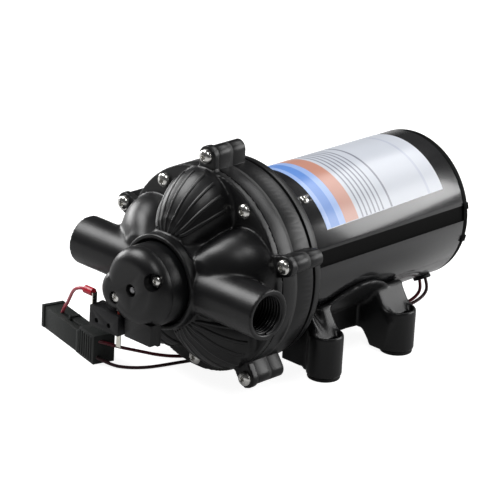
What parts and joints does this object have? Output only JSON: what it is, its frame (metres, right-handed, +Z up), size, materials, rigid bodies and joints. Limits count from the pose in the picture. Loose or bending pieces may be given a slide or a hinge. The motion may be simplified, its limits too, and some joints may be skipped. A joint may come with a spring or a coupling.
{
  "type": "diaphragm pump",
  "caption": "Electric diaphragm pump with a flanged five-sided head, two side ports, front pressure switch, round motor and a rubber-footed base.",
  "frame": {"origin": "on the ground in the middle of the four mounting holes", "axes": "+Y from the head to the rear of the motor, +X to the outlet port, +Z up"},
  "size_m": [0.1524, 0.2012, 0.1172],
  "materials": {
    "black_plastic": "moulded, satin",
    "screw_steel": "bright zinc plate",
    "valve_rubber": "smooth moulded",
    "diaphragm_rubber": "smooth moulded",
    "piston_plastic": "glass-filled, moulded",
    "bearing_steel": "ground",
    "cast_alloy": "die cast",
    "can_paint": "satin black paint",
    "sleeve_paint": "satin black paint",
    "black_rubber": "matt moulded",
    "core_iron": "stacked laminations",
    "copper_wire": "varnished copper",
    "ferrite": "ground ferrite",
    "card_plastic": "pressed board",
    "brass": "pressed sheet",
    "carbon": "pressed carbon",
    "spring_steel": "drawn wire and strip",
    "micro_plastic": "moulded",
    "button_plastic": "moulded",
    "tinned_brass": "tinned strip",
    "red_sleeve": "insulating sleeve",
    "connector_plastic": "moulded",
    "red_wire": "insulated lead",
    "black_wire": "insulated lead",
    "crimson_wire": "insulated lead"
  },
  "bodies": {
    "pump_body": {"front_cover": "black_plastic", "head_screws": "screw_steel", "valve_plate": "black_plastic", "inlet_valves": "valve_rubber", "outlet_valve": "valve_rubber", "diaphragm": "diaphragm_rubber", "drive_housing": "black_plastic", "motor_flange_screws": "screw_steel", "motor_front_plate": "cast_alloy", "motor_can": "can_paint", "flux_sleeve": "sleeve_paint", "motor_end_cap": "can_paint", "through_bolts": "screw_steel", "can_screws": "screw_steel", "lead_grommet": "black_rubber", "front_bearing_outer_race": "bearing_steel", "rear_bearing_outer_race": "bearing_steel", "magnets": "ferrite", "brush_card": "card_plastic", "brush_holders": "brass", "brush_spring_left": "spring_steel", "brush_spring_right": "spring_steel", "base": "black_plastic", "base_screws": "screw_steel", "foot_grommets": "black_rubber", "switch_diaphragm": "diaphragm_rubber", "switch_body": "black_plastic", "pressure_spring": "spring_steel", "switch_cap": "black_plastic", "switch_screws": "screw_steel", "crank_pin": "spring_steel", "microswitch_case": "micro_plastic", "microswitch_terminals": "tinned_brass", "terminal_sleeve": "red_sleeve", "connector_plug": "connector_plastic", "connector_receptacle": "connector_plastic", "lead_red": "red_wire", "lead_black": "black_wire", "lead_switch": "crimson_wire"},
    "rotor": {"shaft": "bearing_steel", "cam": "cast_alloy", "cam_grub_screw": "screw_steel", "cam_bearing_inner_race": "bearing_steel", "armature_core": "core_iron", "windings": "copper_wire", "commutator": "copper_wire", "front_bearing_inner_race": "bearing_steel", "rear_bearing_inner_race": "bearing_steel"},
    "wobble": {"wobble_plate": "piston_plastic", "pistons": "piston_plastic", "piston_screws": "screw_steel", "cam_bearing_outer_race": "bearing_steel"},
    "plunger": {"pressure_plunger": "piston_plastic"},
    "crank": {"crank": "spring_steel"},
    "button": {"microswitch_button": "button_plastic"},
    "seat": {"spring_seat": "brass"},
    "adjuster": {"adjusting_screw": "screw_steel"},
    "brush_l": {"brush_left": "carbon"},
    "brush_r": {"brush_right": "carbon"}
  },
  "joints": [
    {"name": "rotor_spin", "type": "hinge", "parent": "pump_body", "child": "rotor", "pos_m": [0, 0, 0.055], "axis": [0, 1, 0], "continuous": true},
    {"name": "wobble_spin", "type": "hinge", "parent": "rotor", "child": "wobble", "pos_m": [0, -0.0602, 0.055], "axis": [0, 0.9986, 0.0523], "continuous": true, "deforming": ["diaphragm"]},
    {"name": "plunger_slide", "type": "slide", "parent": "pump_body", "child": "plunger", "axis": [0, -1, 0], "range_m": [0, 0.0012], "stiffness_N_per_m": 3000, "deforming": ["pressure_spring", "switch_diaphragm"]},
    {"name": "crank_turn", "type": "hinge", "parent": "pump_body", "child": "crank", "pos_m": [-0.009, -0.1105, 0.0432], "axis": [1, 0, 0], "range_deg": [0, 6.5]},
    {"name": "button_press", "type": "slide", "parent": "pump_body", "child": "button", "axis": [0, 0, -1], "range_m": [0, 0.0007]},
    {"name": "screw_turn", "type": "hinge", "parent": "pump_body", "child": "adjuster", "pos_m": [0, -0.1116, 0.055], "axis": [0, 1, 0], "range_deg": [0, 721]},
    {"name": "seat_slide", "type": "slide", "parent": "pump_body", "child": "seat", "axis": [0, 1, 0], "range_m": [0, 0.0014], "deforming": ["pressure_spring"]},
    {"name": "brush_left_slide", "type": "slide", "parent": "pump_body", "child": "brush_l", "axis": [-1, 0, 0], "range_m": [0, 0.002], "stiffness_N_per_m": 400, "deforming": ["brush_spring_left"]},
    {"name": "brush_right_slide", "type": "slide", "parent": "pump_body", "child": "brush_r", "axis": [1, 0, 0], "range_m": [0, 0.002], "stiffness_N_per_m": 400, "deforming": ["brush_spring_right"]}
  ],
  "couplings": [
    {"joint": "wobble_spin", "follows": "rotor_spin", "ratio": -1},
    {"joint": "crank_turn", "follows": "plunger_slide", "rad_per_m": 90.9},
    {"joint": "button_press", "follows": "plunger_slide", "ratio": 0.545},
    {"joint": "screw_turn", "follows": "seat_slide", "rad_per_m": 8976}
  ]
}
